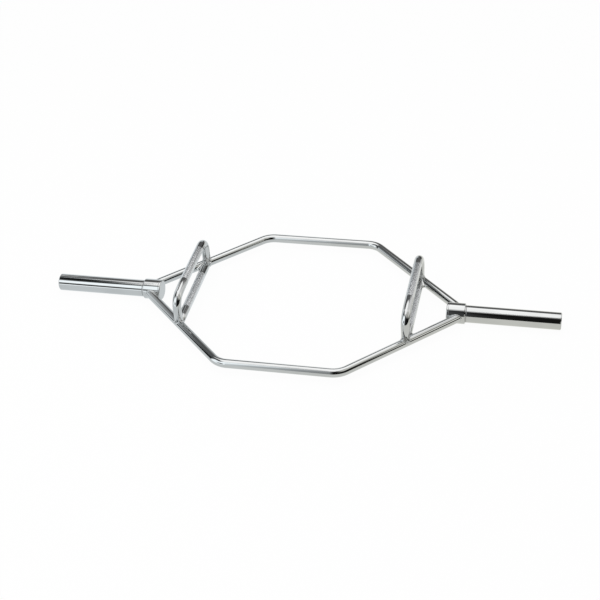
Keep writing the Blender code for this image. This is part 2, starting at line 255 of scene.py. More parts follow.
class BarStudioSettings(PropertyGroup):
    """Camera, floor and light of the studio."""

    azimuth: FloatProperty(
        name="Azimuth", description="Direction of the camera round the bar",
        default=math.radians(14.584), subtype="ANGLE", unit="ROTATION")
    elevation: FloatProperty(
        name="Elevation", description="Angle of the camera above the floor",
        default=math.radians(36.431), subtype="ANGLE", unit="ROTATION")
    roll: FloatProperty(
        name="Roll", description="Turn of the camera about its own line of sight",
        default=math.radians(-4.254), subtype="ANGLE", unit="ROTATION")
    distance: FloatProperty(
        name="Distance", description="Distance from the camera to its target", default=3.7882,
        unit="LENGTH")
    target: FloatVectorProperty(
        name="Target", description="Point that the camera looks at", subtype="XYZ", size=3,
        default=(-0.0049, 0.0029, axis_height), unit="LENGTH")
    lens: FloatProperty(
        name="Lens", description="Focal length in millimetres on a 36 mm sensor", default=76.99,
        min=10.0, max=300.0)
    floor_colour: FloatVectorProperty(
        name="Floor Colour", description="Colour of the floor", default=(0.92, 0.92, 0.92),
        min=0.0, max=1.0, subtype="COLOR", size=3)
    floor_glow: FloatProperty(
        name="Floor Glow",
        description="Share of the floor that is plain white paper to the camera", default=0.96,
        min=0.0, max=1.0)
    lamp_strength: FloatProperty(
        name="Lamp Strength", description="Brightness of the lamps' faces", default=1.35, min=0.0)


class Quantity:
    """A number from a node, which takes part in sums: each operator adds its Math node."""

    def __init__(self, surface, socket):
        self.surface = surface
        self.socket = socket

    def _math(self, operation, first, second):
        return self.surface.node("ShaderNodeMath", {"operation": operation}, {0: first, 1: second})

    def __add__(self, other):
        return self._math("ADD", self, other)

    def __radd__(self, other):
        return self._math("ADD", other, self)

    def __sub__(self, other):
        return self._math("SUBTRACT", self, other)

    def __rsub__(self, other):
        return self._math("SUBTRACT", other, self)

    def __mul__(self, other):
        return self._math("MULTIPLY", self, other)

    def __rmul__(self, other):
        return self._math("MULTIPLY", other, self)

    def __pow__(self, other):
        return self._math("POWER", self, other)


class Surface:
    """Material or world under construction."""

    def __init__(self, name, world=None):
        self.owner = world or bpy.data.materials.new(name)
        self.owner.use_nodes = True
        self.tree = self.owner.node_tree
        self.tree.nodes.clear()

    def node(self, kind, settings=None, inputs=None, output=0):
        """Add a node, set it up, feed its sockets and give back one of its outputs."""
        made = self.tree.nodes.new(kind)
        for name, value in (settings or {}).items():
            setattr(made, name, value)
        for name, value in (inputs or {}).items():
            if isinstance(value, Quantity):
                self.tree.links.new(value.socket, made.inputs[name])
            else:
                made.inputs[name].default_value = value
        return Quantity(self, made.outputs[output]) if made.outputs else None

    def object_place(self):
        """Place in the object's own frame."""
        return self.node("ShaderNodeTexCoord", output=3)

    def bar_place(self):
        """Place on a bar as it was before it was bent: across, across and along."""
        return self.node("ShaderNodeAttribute", {"attribute_name": "bar_place"}, output=1)

    def vectors(self, operation, first, second):
        """Two vectors added, subtracted or multiplied part by part."""
        return self.node("ShaderNodeVectorMath", {"operation": operation}, {0: first, 1: second})

    def parts(self, vector):
        """The three parts of a vector."""
        split = self.node("ShaderNodeSeparateXYZ", None, {0: vector})
        return [Quantity(self, socket) for socket in split.socket.node.outputs]

    def noise(self, vector, scale, detail=2.0):
        """Smooth random pattern with values from 0 to 1."""
        return self.node("ShaderNodeTexNoise", {"noise_dimensions": "3D"},
                         {"Vector": vector, "Scale": scale, "Detail": detail, "Roughness": 0.5})

    def band(self, value, low, high, to_low=0.0, to_high=1.0):
        """Smooth step of a value between two limits."""
        return self.node("ShaderNodeMapRange", {"interpolation_type": "SMOOTHSTEP"},
                         {"Value": value, "From Min": low, "From Max": high, "To Min": to_low,
                          "To Max": to_high})

    def tint(self, share, first, second):
        """Colour that goes from a first to a second with a share."""
        return self.node("ShaderNodeMix", {"data_type": "RGBA"},
                         {"Factor": share, 6: (*first, 1.0), 7: (*second, 1.0)}, output=2)

    def shades(self, share, colour, first, second):
        """One colour that goes from a first to a second brightness with a share."""
        return self.tint(share, shade(colour, first), shade(colour, second))

    def bump(self, height, distance):
        """Normal of a surface whose height varies by up to a distance."""
        return self.node("ShaderNodeBump", None,
                         {"Height": height, "Distance": distance, "Strength": 1.0})

    def seen(self):
        """1 for rays from the camera, off metal or through glass, then 1 for the camera's alone."""
        rays = self.node("ShaderNodeLightPath").socket.node.outputs
        camera, glossy, through = (Quantity(self, rays[f"Is {kind} Ray"])
                                   for kind in ("Camera", "Glossy", "Transmission"))
        return self.node("ShaderNodeMath", {"operation": "MINIMUM"},
                         {0: camera + glossy + through, 1: 1.0}), camera

    def light(self, kind, colour, strength):
        """Even light, an Emission or a Background."""
        return self.node("ShaderNode" + kind, None,
                         {"Color": (*colour, 1.0), "Strength": strength})

    def mix(self, share, first, second):
        """Shader that goes from a first to a second with a share."""
        return self.node("ShaderNodeMixShader", None, {0: share, 1: first, 2: second})

    def finish(self, shader, kind="Material"):
        """Finish the material or world with its shader."""
        self.node("ShaderNodeOutput" + kind, None, {"Surface": shader})
        return self.owner

    def metal(self, colour, roughness, normal):
        """Finish the material as a metal."""
        return self.finish(self.node("ShaderNodeBsdfPrincipled", None, {
            "Base Color": colour, "Roughness": roughness, "Metallic": 1.0, "Normal": normal}))


def shade(colour, share):
    """A colour made darker or brighter by a share."""
    return tuple(min(1.0, part * share) for part in colour)


def chrome(name, finishes, place_of, lengthways):
    """Bright plating over ground steel, with faint waves and polishing lines."""
    surface = Surface(name)
    place = place_of(surface)
    waves = surface.noise(surface.vectors("MULTIPLY", place, lengthways), scale=26.0, detail=1.0)
    drawn_out = tuple(part ** 3 for part in lengthways)
    lines = surface.noise(surface.vectors("MULTIPLY", place, drawn_out), scale=900.0)
    clouds = surface.noise(place, scale=14.0, detail=3.0)
    colour = surface.shades(surface.band(clouds, 0.35, 0.65), finishes.chrome_colour, 0.965, 1.02)
    roughness = (finishes.chrome_roughness + surface.band(lines, 0.45, 0.75, 0.0, 0.022)
                 + surface.band(clouds, 0.50, 0.72, 0.0, 0.018))
    return surface.metal(colour, roughness, surface.bump(waves + lines * 0.004, distance=0.00012))


def knurled_chrome(name, finishes, bar_radius, depth):
    """Plating on the diamonds, duller and with painted shade darker towards the groove bottoms."""
    surface = Surface(name)
    place = surface.bar_place()
    across, over, _ = surface.parts(place)
    radius = (across ** 2 + over ** 2) ** 0.5
    groove = surface.band(radius, bar_radius - depth, bar_radius, 1.0, 0.0)
    grain = surface.noise(place, scale=1600.0)
    worn = surface.noise(place, scale=45.0, detail=3.0)
    # Painted shade: the knurl's colour is dimmed overall and darkest at the bottoms of the grooves
    colour = surface.shades(groove, finishes.chrome_colour, 0.71, 0.38)
    roughness = (finishes.knurl_roughness + groove * 0.16 + grain * 0.06
                 + surface.band(worn, 0.35, 0.70, -0.03, 0.05))
    return surface.metal(colour, roughness, surface.bump(grain, distance=0.00003))


def weld_chrome(name, finishes):
    """Plating over a weld: a little duller, with fine pits."""
    surface = Surface(name)
    place = surface.object_place()
    lumps = surface.noise(place, scale=420.0, detail=3.0)
    pits = surface.noise(place, scale=1500.0)
    colour = surface.shades(surface.band(lumps, 0.3, 0.7), finishes.chrome_colour, 0.98, 1.12)
    roughness = finishes.weld_roughness + surface.band(pits, 0.5, 0.8, 0.0, 0.12)
    return surface.metal(colour, roughness, surface.bump(lumps + pits * 0.2, distance=0.00005))


def turned_steel(name, colour, roughness, line_scale):
    """Steel with the fine rings that a lathe leaves."""
    surface = Surface(name)
    place = surface.object_place()
    along, over, up = surface.parts(surface.vectors("SUBTRACT", place, tuple(axis_point)))
    radius = (over ** 2 + up ** 2) ** 0.5
    ring_place = surface.node("ShaderNodeCombineXYZ", None, {0: along, 1: radius, 2: 0.0})
    rings = surface.noise(ring_place, line_scale)
    stains = surface.noise(place, scale=60.0, detail=3.0)
    tone = surface.shades(surface.band(stains, 0.35, 0.7), colour, 0.88, 1.06)
    rough = roughness + rings * 0.10 + surface.band(stains, 0.4, 0.7, -0.03, 0.04)
    return surface.metal(tone, rough, surface.bump(rings, distance=0.00002))


def sintered_bronze(name, colour):
    """Oiled bronze with open pores and darker patches."""
    surface = Surface(name)
    place = surface.object_place()
    pores = surface.node("ShaderNodeTexVoronoi", {"feature": "F1"},
                         {"Vector": place, "Scale": 1400.0})
    patches = surface.noise(place, scale=130.0, detail=4.0)
    mask = surface.band(pores, 0.05, 0.30)
    tone = surface.shades(surface.band(patches, 0.3, 0.7), colour, 0.70, 1.10)
    roughness = 0.34 - mask * 0.08 + patches * 0.10
    return surface.metal(tone, roughness, surface.bump(mask, distance=0.00003))


def black_oxide(name, colour):
    """Black oxide on spring steel, worn brown-grey in places."""
    surface = Surface(name)
    wear = surface.noise(surface.object_place(), scale=220.0, detail=4.0)
    tone = surface.shades(surface.band(wear, 0.5, 0.8), colour, 1.0, 2.6)
    roughness = 0.42 - surface.band(wear, 0.4, 0.8, 0.0, 0.12)
    return surface.metal(tone, roughness, surface.bump(wear, distance=0.00002))


def made_object(name, solid, materials, sharp):
    """Object of a bmesh that it uses up, smooth but for sharp edges, or as it is with no angle."""
    mesh = bpy.data.meshes.new(name)
    solid.to_mesh(mesh)
    solid.free()
    if sharp is not None:
        mesh.shade_smooth()
        mesh.set_sharp_from_angle(angle=sharp)
    for material in materials:
        mesh.materials.append(material)
    item = bpy.data.objects.new(name, mesh)
    bpy.context.scene.collection.objects.link(item)
    return item


def finished_piece(name, solid, materials, body, node, sharp=SMOOTH_ANGLE):
    """Piece of the bar that rides on a body and stands for a solid, if one is named."""
    item = made_object(name, solid, materials, sharp)
    if node:
        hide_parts(node)
    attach(item, body)


def straight_bar(diameter, sides, sections):
    """Closed bar along Z, made of sections of (length, steps)."""
    solid = bmesh.new()
    bmesh.ops.create_circle(solid, cap_ends=True, segments=sides, radius=diameter / 2)
    solid.faces.ensure_lookup_table()
    end = solid.faces[0]
    for length, steps in sections:
        # The edges and corners go along, so that the sweep leaves no face inside
        grown = bmesh.ops.spin(solid, geom=[end, *end.edges, *end.verts], cent=(0, 0, 0),
                               axis=(0, 0, 1), angle=0.0, dvec=(0, 0, length / steps),
                               steps=steps)["geom_last"]
        end = next(part for part in grown if isinstance(part, bmesh.types.BMFace))
    bmesh.ops.recalc_face_normals(solid, faces=solid.faces)
    for face in solid.faces:
        face.smooth = abs(face.normal.z) < 0.5
    return solid


def keep_places(solid):
    """Write down where each corner is on the straight bar, for the metal's pattern to follow."""
    layer = solid.verts.layers.float_vector.new("bar_place")
    for corner in solid.verts:
        corner[layer] = corner.co
    return layer


def end_corners(solid, layer, length):
    """Corners of a bar's two ends, each with -1 at its start or 1 at its far end."""
    for corner in solid.verts:
        if corner[layer].z < SAME_PLACE:
            yield corner, -1
        elif corner[layer].z > length - SAME_PLACE:
            yield corner, 1


def swung(point, place, facing, axis, turn, radius):
    """A point of the bar, carried round the centre of a bend that begins at a place."""
    centre = place + axis.cross(facing.col[2]) * radius
    return centre + Matrix.Rotation(turn, 3, axis) @ (point - centre)


def bend(solid, start, heading, moves):
    """Bend a bar along its moves, each ("straight", length) or ("bend", axis, angle, radius)."""
    place = Vector(start)
    facing = Vector(heading).to_track_quat("Z", "Y").to_matrix()
    along = 0.0
    stretches = []
    for kind, *sizes in moves:
        stretches.append((along, place.copy(), facing.copy(), kind, sizes))
        if kind == "straight":
            place = place + facing.col[2] * sizes[0]
            along += sizes[0]
        else:
            axis, angle, radius = Vector(sizes[0]), sizes[1], sizes[2]
            place = swung(place, place, facing, axis, angle, radius)
            facing = Matrix.Rotation(angle, 3, axis) @ facing
            along += angle * radius
    for corner in solid.verts:
        begun = [stretch for stretch in stretches if stretch[0] <= corner.co.z + SAME_PLACE / 10]
        stretch_start, place, facing, kind, sizes = begun[-1]
        rest = corner.co.z - stretch_start
        across = Vector((corner.co.x, corner.co.y, 0.0))
        if kind == "straight":
            corner.co = place + facing @ (across + Vector((0.0, 0.0, rest)))
        else:
            axis, radius = Vector(sizes[0]), sizes[2]
            corner.co = swung(place + facing @ across, place, facing, axis, rest / radius, radius)


def supported(outline, reach):
    """Outline with a point beside each corner, so that long faces stay even up to their edges."""
    points = []
    for i, here in enumerate(outline):
        there = outline[(i + 1) % len(outline)]
        length = math.dist(here, there)
        points.append(here)
        if length > 3 * reach and max(here[1], there[1]) > 0.0:
            for share in (reach / length, 1.0 - reach / length):
                points.append((here[0] + (there[0] - here[0]) * share,
                               here[1] + (there[1] - here[1]) * share))
    return points


def turned(outline, sides, edge_break):
    """Closed solid turned about X from (along, radius) points, its sharp edges slightly rounded."""
    solid = bmesh.new()
    outline = supported(outline, 2 * edge_break)
    corners = [solid.verts.new((along, 0.0, radius)) for along, radius in outline]
    edges = [solid.edges.new((corners[i - 1], corners[i])) for i in range(len(corners))]
    bmesh.ops.spin(solid, geom=corners + edges, cent=(0, 0, 0), axis=(1, 0, 0), angle=math.tau,
                   steps=sides, use_merge=True)
    bmesh.ops.remove_doubles(solid, verts=solid.verts, dist=SAME_PLACE)
    loose = [edge for edge in solid.edges if not edge.link_faces]
    bmesh.ops.delete(solid, geom=loose, context="EDGES")
    bmesh.ops.recalc_face_normals(solid, faces=solid.faces)
    sharp = [edge for edge in solid.edges
             if len(edge.link_faces) == 2 and edge.calc_face_angle() > ROUNDED_ANGLE]
    bmesh.ops.bevel(solid, geom=sharp, offset=edge_break, offset_type="OFFSET", segments=2,
                    profile=0.5, affect="EDGES", material=-1)
    return solid


def turned_pieces(rows, sides):
    """Turned pieces of both sides.

    Each row gives the piece's name, the solid that it stands for, its outline for the right side,
    the rounding of its edges, its material, its slot, which nothing reads, and whether it turns
    with the sleeve.
    """
    for side_name, side in SIDES.items():
        for name, node, outline, edge_break, material, slot, turns in rows:
            solid = turned(outline, sides, edge_break)
            if side < 0:
                bmesh.ops.scale(solid, vec=(-1, 1, 1), verts=solid.verts)
                bmesh.ops.reverse_faces(solid, faces=solid.faces)
            bmesh.ops.translate(solid, vec=axis_point, verts=solid.verts)
            finished_piece(f"{side_name}_{name}", solid, [material],
                           f"{side_name}_turning_sleeve" if turns else "frame",
                           f"{side_name}_{node}")


class Layout:
    """Places on the frame that several pieces share, worked out from the sizes."""

    def __init__(self, context):
        rail = context.scene.bar_rail_sizes
        grip = context.scene.bar_grip_sizes
        self.angle = rail.arm_angle
        self.rail_radius = rail.diameter / 2
        self.grip_radius = grip.diameter / 2
        self.corner = (rail.run_length / 2, rail.spacing / 2)
        self.arm_end = self.corner[0] + self.corner[1] / math.tan(self.angle)
        self.arm_length = self.corner[1] / math.sin(self.angle)
        self.grip_x = grip.spacing / 2
        self.grip_end = (self.arm_end - self.grip_x) * math.tan(self.angle)
        self.foot_y = grip.foot_spacing / 2

    def from_arm(self, x, y):
        """Level distance from the nearest arm's centre line, positive towards the bar's middle."""
        return ((self.arm_end - abs(x)) * math.tan(self.angle) - abs(y)) * math.cos(self.angle)

    def arm_edge(self, x, height, sunk=0.0):
        """How far out along Y a level grip reaches before it is sunk in the arm, at a height."""
        half = math.sqrt(max(0.0, (self.rail_radius - sunk) ** 2 - height ** 2))
        return (self.arm_end - abs(x)) * math.tan(self.angle) - half / math.cos(self.angle)

    def seat_height(self, x, y, floor):
        """Height, above the frame's centre, of what a handle's foot meets when it comes down."""
        found = [floor]
        from_arm = abs(self.from_arm(x, y))
        if from_arm < self.rail_radius:
            found.append(math.sqrt(self.rail_radius ** 2 - from_arm ** 2))
        from_grip = abs(abs(x) - self.grip_x)
        if from_grip < self.grip_radius and abs(y) < self.grip_end:
            found.append(math.sqrt(self.grip_radius ** 2 - from_grip ** 2))
        return max(found)


class BAR_OT_rails(Operator):
    """Make the two long bent bars, coped to the collars"""

    bl_idname = "bar.rails"
    bl_label = "Rails"
    bl_options = {"REGISTER", "UNDO"}

    sides: IntProperty(name="Sides", description="Faces round a bar", default=72, min=12)
    bend_steps: IntProperty(name="Bend Steps", description="Faces along a bend", default=28, min=4)

    def execute(self, context):
        sizes = context.scene.bar_rail_sizes
        layout = Layout(context)
        material = chrome("rail_chrome", context.scene.bar_finishes, Surface.bar_place,
                          (1.0, 1.0, 0.30))
        setback = sizes.bend_radius * math.tan(layout.angle / 2)
        arm = layout.arm_length - setback
        run = sizes.run_length - 2 * setback
        curve = layout.angle * sizes.bend_radius
        corner_move = ("bend", (0, 0, 1), layout.angle, sizes.bend_radius)
        moves = [("straight", arm), corner_move, ("straight", run), corner_move, ("straight", arm)]
        curve_section = (curve, self.bend_steps)
        sections = [(arm, 1), curve_section, (run, 1), curve_section, (arm, 1)]
        heading = Vector((math.cos(layout.angle), -math.sin(layout.angle), 0.0))
        for end_name, end in ENDS.items():
            solid = straight_bar(sizes.diameter, self.sides, sections)
            layer = keep_places(solid)
            bend(solid, (-layout.arm_end, 0, axis_height), heading, moves)
            for corner, far in end_corners(solid, layer, 2 * arm + 2 * curve + run):
                height = corner.co.z - axis_height
                reach = math.sqrt((collar_radius - WELDED_IN) ** 2 - height ** 2)
                slide = (-reach - corner.co.y) / heading.y
                corner.co += Vector((-far * heading.x, heading.y, 0.0)) * slide
                corner[layer].z -= far * slide
            if end > 0:
                bmesh.ops.rotate(solid, cent=(0, 0, 0), matrix=Matrix.Rotation(math.pi, 3, "Z"),
                                 verts=solid.verts)
            finished_piece(f"{end_name}_rail_bar", solid, [material], "frame",
                           f"{end_name}_frame_rail")
        return {"FINISHED"}


def grip_materials(context):
    """Materials of a grip: bright at its ends, knurled in the middle."""
    finishes = context.scene.bar_finishes
    sizes = context.scene.bar_grip_sizes
    made = bpy.data.materials
    bright = made.get("grip_chrome") or chrome("grip_chrome", finishes, Surface.bar_place,
                                               (1.0, 1.0, 0.35))
    knurled = made.get("knurled_chrome") or knurled_chrome(
        "knurled_chrome", finishes, sizes.diameter / 2, sizes.knurl_depth)
    return [bright, knurled]


def knurl_step(sizes):
    """Half a diamond's length along the bar."""
    width = math.pi * sizes.diameter / sizes.knurl_teeth
    return width / math.tan(sizes.knurl_angle) / 2


def knurl_span(first, last, step):
    """The knurl's two limits along the bar, with a whole number of steps between them."""
    rings = max(2, round((last - first) / step))
    return first, first + rings * step, rings


def knurled_bar(sizes, sections, first, last):
    """Straight bar with diamonds pressed in between two heights, and the layer of its places."""
    sides, step = sizes.knurl_teeth * 2, knurl_step(sizes)
    solid = straight_bar(sizes.diameter, sides, sections)
    for corner in solid.verts:
        if not first + step / 2 <= corner.co.z <= last - step / 2:
            continue
        ring = round((corner.co.z - first) / step)
        turn = round(math.atan2(corner.co.y, corner.co.x) / (math.tau / sides))
        if (ring + turn) % 2:
            radius = corner.co.xy.length
            share = (radius - sizes.knurl_depth) / radius
            corner.co.x *= share
            corner.co.y *= share
    faces = [face for face in solid.faces if len(face.verts) == 4
             and first - step / 4 < face.calc_center_median().z < last + step / 4]
    for face in bmesh.ops.triangulate(solid, faces=faces, quad_method="SHORT_EDGE")["faces"]:
        face.material_index = 1
        face.smooth = False
    return solid, keep_places(solid)


class BAR_OT_level_grips(Operator):
    """Make the level grips between the arms, with their knurl"""

    bl_idname = "bar.level_grips"
    bl_label = "Level Grips"
    bl_options = {"REGISTER", "UNDO"}

    def execute(self, context):
        sizes = context.scene.bar_grip_sizes
        layout = Layout(context)
        materials = grip_materials(context)
        start = -layout.grip_end
        first, last, rings = knurl_span(sizes.level_knurl_front - start,
                                        sizes.level_knurl_rear - start, knurl_step(sizes))
        length = 2 * layout.grip_end
        sections = [(first, END_STEPS), (last - first, rings), (length - last, END_STEPS)]
        for side_name, side in SIDES.items():
            solid, layer = knurled_bar(sizes, sections, first, last)
            bend(solid, (side * layout.grip_x, start, axis_height), (0, 1, 0),
                 [("straight", length)])
            for corner, far in end_corners(solid, layer, length):
                edge = far * layout.arm_edge(corner.co.x, corner.co.z - axis_height, WELDED_IN)
                corner[layer].z += edge - corner.co.y
                corner.co.y = edge
            finished_piece(f"{side_name}_grip_bar", solid, materials, "frame",
                           f"{side_name}_level_grip", sharp=None)
        return {"FINISHED"}


class BAR_OT_raised_handles(Operator):
    """Make the raised handles, bent to a bridge, with their knurl"""

    bl_idname = "bar.raised_handles"
    bl_label = "Raised Handles"
    bl_options = {"REGISTER", "UNDO"}

    bend_steps: IntProperty(name="Bend Steps", description="Faces along a bend", default=28, min=4)

    def execute(self, context):
        sizes = context.scene.bar_grip_sizes
        layout = Layout(context)
        materials = grip_materials(context)
        rear_radius, front_radius = sizes.rear_bend_radius, sizes.front_bend_radius
        lead, quarter = sizes.lead_angle, math.pi / 2
        lead_radius = ((layout.foot_y + sizes.lead_start - front_radius * (1 - math.sin(lead)))
                       / math.sin(lead))
        front_leg = (sizes.rise - sizes.foot_trim - front_radius * math.cos(lead)
                     - lead_radius * (1 - math.cos(lead)))
        rear_leg = sizes.rise - rear_radius - sizes.foot_trim
        front_angle = quarter - lead
        front_curve, lead_curve = front_angle * front_radius, lead * lead_radius
        rear_curve = quarter * rear_radius
        rear_end = layout.foot_y - rear_radius
        top = rear_end - sizes.lead_start
        top_start = front_leg + front_curve + lead_curve
        middle = top_start - sizes.lead_start
        first, last, rings = knurl_span(
            middle + sizes.raised_knurl_front,
            middle + min(sizes.raised_knurl_rear, rear_end - KNURL_MARGIN), knurl_step(sizes))
        across = (-1, 0, 0)
        moves = [("straight", front_leg), ("bend", across, front_angle, front_radius),
                 ("bend", across, lead, lead_radius), ("straight", top),
                 ("bend", across, quarter, rear_radius), ("straight", rear_leg)]
        sections = [(front_leg, 1), (front_curve, self.bend_steps), (lead_curve, LEAD_STEPS),
                    (first - top_start, END_STEPS), (last - first, rings),
                    (top_start + top - last, 2 * END_STEPS), (rear_curve, self.bend_steps),
                    (rear_leg, 1)]
        length = top_start + top + rear_curve + rear_leg
        for side_name, side in SIDES.items():
            solid, layer = knurled_bar(sizes, sections, first, last)
            bend(solid, (side * layout.grip_x, -layout.foot_y, axis_height + sizes.foot_trim),
                 (0, 0, 1), moves)
            for corner in solid.verts:
                raised = min(1.0, (corner.co.z - axis_height) / sizes.rise)
                out = min(1.0, abs(corner.co.y) / rear_end)
                corner.co.z -= sizes.crown * raised * out ** 2
            for corner, _ in end_corners(solid, layer, length):
                seat = layout.seat_height(corner.co.x, corner.co.y, sizes.foot_trim)
                corner.co.z = axis_height + (seat - WELDED_IN)
            finished_piece(f"{side_name}_handle_bar", solid, materials, "frame",
                           f"{side_name}_raised_handle", sharp=None)
        return {"FINISHED"}


class BAR_OT_collars(Operator):
    """Make the collars that the arms are welded to, and the plates that close them"""

    bl_idname = "bar.collars"
    bl_label = "Collars"
    bl_options = {"REGISTER", "UNDO"}

    sides: IntProperty(name="Sides", description="Faces round a collar", default=144, min=24)

    def execute(self, context):
        sizes = context.scene.bar_sleeve_sizes
        material = chrome("collar_chrome", context.scene.bar_finishes, Surface.object_place,
                          (0.45, 1.0, 1.0))
        seat = (ring_high.z - ring_low.z) / 2 + WASHER_GAP
        start, end = collar_low.x, collar_high.x
        collar = [(start, spindle_bore), (end - SEAT_DEPTH, spindle_bore), (end - SEAT_DEPTH, seat),
                  (end, seat), (end, collar_radius - sizes.collar_edge),
                  (end - sizes.collar_edge, collar_radius), (start, collar_radius)]
        rounding, steps = sizes.plate_rounding, ROUNDING_STEPS
        turns = [math.pi / 2 + math.pi / 2 * i / steps for i in range(steps + 1)]
        plate = [(plate_high.x, 0.0), (plate_high.x, collar_radius)]
        plate += [(plate_low.x + rounding + rounding * math.cos(turn),
                   collar_radius - rounding + rounding * math.sin(turn)) for turn in turns]
        plate += [(plate_low.x, 0.0)]
        turned_pieces([
            ("collar_boss", "collar", collar, sizes.edge_break, material, "chrome", False),
            ("collar_disc", "collar_plate", plate, sizes.edge_break, material, "chrome", False),
        ], self.sides)
        return {"FINISHED"}


class BAR_OT_sleeves(Operator):
    """Make the turning plate sleeves, their thrust washers and their end plugs"""

    bl_idname = "bar.sleeves"
    bl_label = "Sleeves"
    bl_options = {"REGISTER", "UNDO"}

    sides: IntProperty(name="Sides", description="Faces round a sleeve", default=144, min=24)

    def plug_outline(self, radius):
        """Outline of the end plug: a cup, open inwards, with a shallow hollow in its face."""
        end, wall, dish, edge = plug_high.x, 0.0025, 0.0006, 0.0006
        middle, slope_radius, slope_depth, rim = 0.0035, radius * 0.62, dish * 0.4, 0.0030
        return [(plug_low.x, radius - wall), (end - wall, radius - wall), (end - wall, 0.0),
                (end - dish, 0.0), (end - dish, middle), (end - slope_depth, slope_radius),
                (end, radius - rim), (end, radius - edge), (end - edge, radius),
                (plug_low.x, radius)]

    def execute(self, context):
        sizes = context.scene.bar_sleeve_sizes
        finishes = context.scene.bar_finishes
        bright = chrome("sleeve_chrome", finishes, Surface.object_place, (0.25, 1.0, 1.0))
        satin = turned_steel("washer_steel", finishes.steel_colour, roughness=0.18,
                             line_scale=1500.0)
        faced = turned_steel("plug_chrome", finishes.chrome_colour, roughness=0.05,
                             line_scale=900.0)
        radius, chamfer, foot = sleeve_radius, sizes.sleeve_chamfer, FOOT_CHAMFER
        seat = radius - sizes.bore_wall
        start, end = sleeve_low.x, sleeve_high.x
        sleeve = [(start, seat), (end, seat), (end, radius - chamfer), (end - chamfer, radius),
                  (start + foot, radius), (start, radius - foot)]
        start, end = ring_low.x, ring_high.x
        washer = [(start, spindle_bore), (end, spindle_bore), (end, radius - foot),
                  (end - foot, radius), (start + foot, radius), (start, radius - foot)]
        plug = self.plug_outline(seat - RUNNING_GAP)
        small_break = sizes.edge_break / 2
        turned_pieces([
            ("sleeve_tube", "sleeve", sleeve, sizes.edge_break, bright, "chrome", True),
            ("washer_ring", "thrust_washer", washer, small_break, satin, "satin_steel", False),
            ("plug_cap", "end_plug", plug, small_break, faced, "chrome", True),
        ], self.sides)
        return {"FINISHED"}


def on_quarter(side, end, x, y, height):
    """Place in one quarter of the frame, at a height above its centre."""
    return Vector((side * x, end * y, axis_height + height))


# The weld that fills a sharp corner: how far round the bars it goes, faces across it, depth of its
# hollow face as a share of its length, and how deep its edges lie in the bars and its ripples in it
FILL_TURN = math.radians(80.0)
FILL_STEPS = 10
FILL_HOLLOW = 0.18
FILL_SUNK = 0.0004


